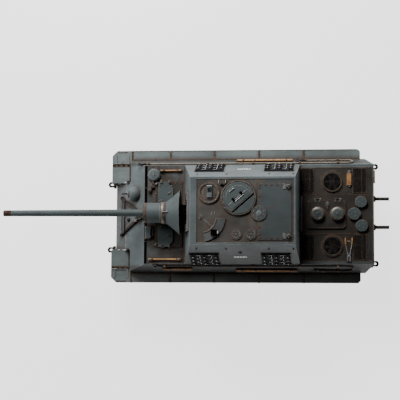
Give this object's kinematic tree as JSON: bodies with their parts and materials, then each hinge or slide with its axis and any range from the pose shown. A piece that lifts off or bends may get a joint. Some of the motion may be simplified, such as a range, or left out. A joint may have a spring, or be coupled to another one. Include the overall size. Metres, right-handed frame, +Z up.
{
  "type": "rc tank",
  "caption": "Radio-controlled tracked tank destroyer model with a long elevating gun, turning wheels, opening hatches and segmented tracks.",
  "frame": {"origin": "on the ground under the middle of the overall length, on the centre plane", "axes": "+X towards the muzzle, +Y to the vehicle's left, +Z up"},
  "size_m": [0.666, 0.234, 0.1843],
  "materials": {
    "grey_paint": "weathered matt paint",
    "dark_steel": "burnished dark metal",
    "rust_steel": "rusty metal",
    "wood": "oiled wood",
    "black_plastic": "matt",
    "green_board": "semi-gloss"
  },
  "bodies": {
    "hull": {"lower_hull": "grey_paint", "suspension": "grey_paint", "upper_hull": "grey_paint", "casemate_roof": "grey_paint", "front_deck_plate": "grey_paint", "fenders": "grey_paint", "engine_deck": "grey_paint", "cooling_fans": "rust_steel", "exhaust_pipes": "rust_steel", "tow_cables": "dark_steel", "spare_links": "dark_steel", "stowed_tools": "wood", "fasteners": "dark_steel", "battery_hatch": "grey_paint", "battery_pack": "black_plastic", "control_board": "green_board", "drive_units": "black_plastic", "left_track": "dark_steel", "right_track": "dark_steel"},
    "driver_hatch": {"driver_hatch": "grey_paint"},
    "operator_hatch": {"operator_hatch": "grey_paint"},
    "gun_turntable": {"gun_turntable": "black_plastic"},
    "gun_mantlet": {"gun_mantlet": "grey_paint"},
    "gun_barrel": {"gun_barrel": "grey_paint"},
    "travel_lock": {"travel_lock": "grey_paint"},
    "bow_gun_ball": {"bow_gun_ball": "grey_paint"},
    "bow_gun_barrel": {"bow_gun_barrel": "dark_steel"},
    "left_mudguard_flap": {"left_mudguard_flap": "grey_paint"},
    "right_mudguard_flap": {"right_mudguard_flap": "grey_paint"},
    "front_left_shackle": {"front_left_shackle": "rust_steel"},
    "front_right_shackle": {"front_right_shackle": "rust_steel"},
    "rear_left_shackle": {"rear_left_shackle": "rust_steel"},
    "rear_right_shackle": {"rear_right_shackle": "rust_steel"},
    "commander_ring": {"commander_ring": "grey_paint"},
    "commander_hatch": {"commander_hatch": "grey_paint"},
    "periscope": {"periscope": "grey_paint"},
    "sight_cover": {"sight_cover": "grey_paint"},
    "engine_hatch": {"engine_hatch": "grey_paint"},
    "left_road_wheel_1": {"left_road_wheel_1": "grey_paint"},
    "left_road_wheel_2": {"left_road_wheel_2": "grey_paint"},
    "left_road_wheel_3": {"left_road_wheel_3": "grey_paint"},
    "left_road_wheel_4": {"left_road_wheel_4": "grey_paint"},
    "left_road_wheel_5": {"left_road_wheel_5": "grey_paint"},
    "left_road_wheel_6": {"left_road_wheel_6": "grey_paint"},
    "left_road_wheel_7": {"left_road_wheel_7": "grey_paint"},
    "left_road_wheel_8": {"left_road_wheel_8": "grey_paint"},
    "left_road_wheel_9": {"left_road_wheel_9": "grey_paint"},
    "right_road_wheel_1": {"right_road_wheel_1": "grey_paint"},
    "right_road_wheel_2": {"right_road_wheel_2": "grey_paint"},
    "right_road_wheel_3": {"right_road_wheel_3": "grey_paint"},
    "right_road_wheel_4": {"right_road_wheel_4": "grey_paint"},
    "right_road_wheel_5": {"right_road_wheel_5": "grey_paint"},
    "right_road_wheel_6": {"right_road_wheel_6": "grey_paint"},
    "right_road_wheel_7": {"right_road_wheel_7": "grey_paint"},
    "right_road_wheel_8": {"right_road_wheel_8": "grey_paint"},
    "right_road_wheel_9": {"right_road_wheel_9": "grey_paint"},
    "left_sprocket": {"left_sprocket": "grey_paint"},
    "left_idler": {"left_idler": "grey_paint"},
    "right_sprocket": {"right_sprocket": "grey_paint"},
    "right_idler": {"right_idler": "grey_paint"}
  },
  "joints": [
    {"name": "gun_traverse", "type": "hinge", "parent": "hull", "child": "gun_turntable", "pos_m": [-0.012, 0, 0.106], "axis": [0, 0, 1], "range_deg": [-10, 10]},
    {"name": "gun_elevation", "type": "hinge", "parent": "gun_turntable", "child": "gun_mantlet", "pos_m": [-0.012, 0, 0.14], "axis": [0, -1, 0], "range_deg": [-4, 15]},
    {"name": "gun_recoil", "type": "slide", "parent": "gun_mantlet", "child": "gun_barrel", "axis": [1, 0, 0], "range_m": [-0.018, 0]},
    {"name": "sight_cover_turn", "type": "hinge", "parent": "hull", "child": "sight_cover", "pos_m": [-0.016, 0.0108, 0.178], "axis": [0, 0, 1], "range_deg": [-10, 10]},
    {"name": "travel_lock_fold", "type": "hinge", "parent": "hull", "child": "travel_lock", "pos_m": [0.137, 0, 0.0728], "axis": [0, 1, 0], "range_deg": [0, 50]},
    {"name": "bow_gun_yaw", "type": "hinge", "parent": "hull", "child": "bow_gun_ball", "pos_m": [0.118, -0.038, 0.096], "axis": [0, 0, 1], "range_deg": [-10, 10]},
    {"name": "bow_gun_pitch", "type": "hinge", "parent": "bow_gun_ball", "child": "bow_gun_barrel", "pos_m": [0.118, -0.038, 0.096], "axis": [0, -1, 0], "range_deg": [-5, 8]},
    {"name": "left_flap_hinge", "type": "hinge", "parent": "hull", "child": "left_mudguard_flap", "pos_m": [0.136, 0.094, 0.0788], "axis": [1, 0, 0], "range_deg": [0, 90]},
    {"name": "right_flap_hinge", "type": "hinge", "parent": "hull", "child": "right_mudguard_flap", "pos_m": [0.136, -0.094, 0.0788], "axis": [-1, 0, 0], "range_deg": [0, 90]},
    {"name": "driver_hatch_hinge", "type": "hinge", "parent": "hull", "child": "driver_hatch", "pos_m": [0.052, 0.0583, 0.1141], "axis": [-1, 0, 0], "range_deg": [0, 100]},
    {"name": "operator_hatch_hinge", "type": "hinge", "parent": "hull", "child": "operator_hatch", "pos_m": [0.052, -0.0583, 0.1141], "axis": [1, 0, 0], "range_deg": [0, 100]},
    {"name": "front_left_shackle_pin", "type": "hinge", "parent": "hull", "child": "front_left_shackle", "pos_m": [0.151, 0.0585, 0.06], "axis": [0, 1, 0], "range_deg": [-30, 90]},
    {"name": "rear_left_shackle_pin", "type": "hinge", "parent": "hull", "child": "rear_left_shackle", "pos_m": [-0.303, 0.084, 0.088], "axis": [0, -1, 0], "range_deg": [-30, 90]},
    {"name": "front_right_shackle_pin", "type": "hinge", "parent": "hull", "child": "front_right_shackle", "pos_m": [0.151, -0.0585, 0.06], "axis": [0, 1, 0], "range_deg": [-30, 90]},
    {"name": "rear_right_shackle_pin", "type": "hinge", "parent": "hull", "child": "rear_right_shackle", "pos_m": [-0.303, -0.084, 0.088], "axis": [0, -1, 0], "range_deg": [-30, 90]},
    {"name": "commander_ring_turn", "type": "hinge", "parent": "hull", "child": "commander_ring", "pos_m": [-0.0798, -0.0215, 0.178], "axis": [0, 0, 1], "continuous": true},
    {"name": "commander_hatch_hinge", "type": "hinge", "parent": "commander_ring", "child": "commander_hatch", "pos_m": [-0.08767, -0.01244, 0.1809], "axis": [-0.7547, -0.6561, 0], "range_deg": [0, 95]},
    {"name": "periscope_turn", "type": "hinge", "parent": "hull", "child": "periscope", "pos_m": [-0.03, -0.0296, 0.178], "axis": [0, 0, 1], "continuous": true},
    {"name": "engine_hatch_hinge", "type": "hinge", "parent": "hull", "child": "engine_hatch", "pos_m": [-0.226, -0.026, 0.1119], "axis": [1, 0, 0], "range_deg": [0, 95]},
    {"name": "left_sprocket_spin", "type": "hinge", "parent": "hull", "child": "left_sprocket", "pos_m": [0.119, 0.087, 0.046], "axis": [0, 1, 0], "continuous": true, "deforming": ["left_track"]},
    {"name": "left_idler_spin", "type": "hinge", "parent": "hull", "child": "left_idler", "pos_m": [-0.256, 0.087, 0.042], "axis": [0, 1, 0], "continuous": true},
    {"name": "left_wheel_1_spin", "type": "hinge", "parent": "hull", "child": "left_road_wheel_1", "pos_m": [0.066, 0.087, 0.0289], "axis": [0, 1, 0], "continuous": true},
    {"name": "left_wheel_2_spin", "type": "hinge", "parent": "hull", "child": "left_road_wheel_2", "pos_m": [0.0329, 0.087, 0.0289], "axis": [0, 1, 0], "continuous": true},
    {"name": "left_wheel_3_spin", "type": "hinge", "parent": "hull", "child": "left_road_wheel_3", "pos_m": [-0.0002, 0.087, 0.0289], "axis": [0, 1, 0], "continuous": true},
    {"name": "left_wheel_4_spin", "type": "hinge", "parent": "hull", "child": "left_road_wheel_4", "pos_m": [-0.0333, 0.087, 0.0289], "axis": [0, 1, 0], "continuous": true},
    {"name": "left_wheel_5_spin", "type": "hinge", "parent": "hull", "child": "left_road_wheel_5", "pos_m": [-0.0664, 0.087, 0.0289], "axis": [0, 1, 0], "continuous": true},
    {"name": "left_wheel_6_spin", "type": "hinge", "parent": "hull", "child": "left_road_wheel_6", "pos_m": [-0.0995, 0.087, 0.0289], "axis": [0, 1, 0], "continuous": true},
    {"name": "left_wheel_7_spin", "type": "hinge", "parent": "hull", "child": "left_road_wheel_7", "pos_m": [-0.1326, 0.087, 0.0289], "axis": [0, 1, 0], "continuous": true},
    {"name": "left_wheel_8_spin", "type": "hinge", "parent": "hull", "child": "left_road_wheel_8", "pos_m": [-0.1657, 0.087, 0.0289], "axis": [0, 1, 0], "continuous": true},
    {"name": "left_wheel_9_spin", "type": "hinge", "parent": "hull", "child": "left_road_wheel_9", "pos_m": [-0.1988, 0.087, 0.0289], "axis": [0, 1, 0], "continuous": true},
    {"name": "right_sprocket_spin", "type": "hinge", "parent": "hull", "child": "right_sprocket", "pos_m": [0.119, -0.087, 0.046], "axis": [0, 1, 0], "continuous": true, "deforming": ["right_track"]},
    {"name": "right_idler_spin", "type": "hinge", "parent": "hull", "child": "right_idler", "pos_m": [-0.256, -0.087, 0.042], "axis": [0, 1, 0], "continuous": true},
    {"name": "right_wheel_1_spin", "type": "hinge", "parent": "hull", "child": "right_road_wheel_1", "pos_m": [0.066, -0.087, 0.0289], "axis": [0, 1, 0], "continuous": true},
    {"name": "right_wheel_2_spin", "type": "hinge", "parent": "hull", "child": "right_road_wheel_2", "pos_m": [0.0329, -0.087, 0.0289], "axis": [0, 1, 0], "continuous": true},
    {"name": "right_wheel_3_spin", "type": "hinge", "parent": "hull", "child": "right_road_wheel_3", "pos_m": [-0.0002, -0.087, 0.0289], "axis": [0, 1, 0], "continuous": true},
    {"name": "right_wheel_4_spin", "type": "hinge", "parent": "hull", "child": "right_road_wheel_4", "pos_m": [-0.0333, -0.087, 0.0289], "axis": [0, 1, 0], "continuous": true},
    {"name": "right_wheel_5_spin", "type": "hinge", "parent": "hull", "child": "right_road_wheel_5", "pos_m": [-0.0664, -0.087, 0.0289], "axis": [0, 1, 0], "continuous": true},
    {"name": "right_wheel_6_spin", "type": "hinge", "parent": "hull", "child": "right_road_wheel_6", "pos_m": [-0.0995, -0.087, 0.0289], "axis": [0, 1, 0], "continuous": true},
    {"name": "right_wheel_7_spin", "type": "hinge", "parent": "hull", "child": "right_road_wheel_7", "pos_m": [-0.1326, -0.087, 0.0289], "axis": [0, 1, 0], "continuous": true},
    {"name": "right_wheel_8_spin", "type": "hinge", "parent": "hull", "child": "right_road_wheel_8", "pos_m": [-0.1657, -0.087, 0.0289], "axis": [0, 1, 0], "continuous": true},
    {"name": "right_wheel_9_spin", "type": "hinge", "parent": "hull", "child": "right_road_wheel_9", "pos_m": [-0.1988, -0.087, 0.0289], "axis": [0, 1, 0], "continuous": true}
  ],
  "couplings": [
    {"joint": "sight_cover_turn", "follows": "gun_traverse", "ratio": 1},
    {"joint": "left_idler_spin", "follows": "left_sprocket_spin", "ratio": 1.2273},
    {"joint": "left_wheel_1_spin", "follows": "left_sprocket_spin", "ratio": 1.08},
    {"joint": "left_wheel_2_spin", "follows": "left_sprocket_spin", "ratio": 1.08},
    {"joint": "left_wheel_3_spin", "follows": "left_sprocket_spin", "ratio": 1.08},
    {"joint": "left_wheel_4_spin", "follows": "left_sprocket_spin", "ratio": 1.08},
    {"joint": "left_wheel_5_spin", "follows": "left_sprocket_spin", "ratio": 1.08},
    {"joint": "left_wheel_6_spin", "follows": "left_sprocket_spin", "ratio": 1.08},
    {"joint": "left_wheel_7_spin", "follows": "left_sprocket_spin", "ratio": 1.08},
    {"joint": "left_wheel_8_spin", "follows": "left_sprocket_spin", "ratio": 1.08},
    {"joint": "left_wheel_9_spin", "follows": "left_sprocket_spin", "ratio": 1.08},
    {"joint": "right_idler_spin", "follows": "right_sprocket_spin", "ratio": 1.2273},
    {"joint": "right_wheel_1_spin", "follows": "right_sprocket_spin", "ratio": 1.08},
    {"joint": "right_wheel_2_spin", "follows": "right_sprocket_spin", "ratio": 1.08},
    {"joint": "right_wheel_3_spin", "follows": "right_sprocket_spin", "ratio": 1.08},
    {"joint": "right_wheel_4_spin", "follows": "right_sprocket_spin", "ratio": 1.08},
    {"joint": "right_wheel_5_spin", "follows": "right_sprocket_spin", "ratio": 1.08},
    {"joint": "right_wheel_6_spin", "follows": "right_sprocket_spin", "ratio": 1.08},
    {"joint": "right_wheel_7_spin", "follows": "right_sprocket_spin", "ratio": 1.08},
    {"joint": "right_wheel_8_spin", "follows": "right_sprocket_spin", "ratio": 1.08},
    {"joint": "right_wheel_9_spin", "follows": "right_sprocket_spin", "ratio": 1.08}
  ]
}
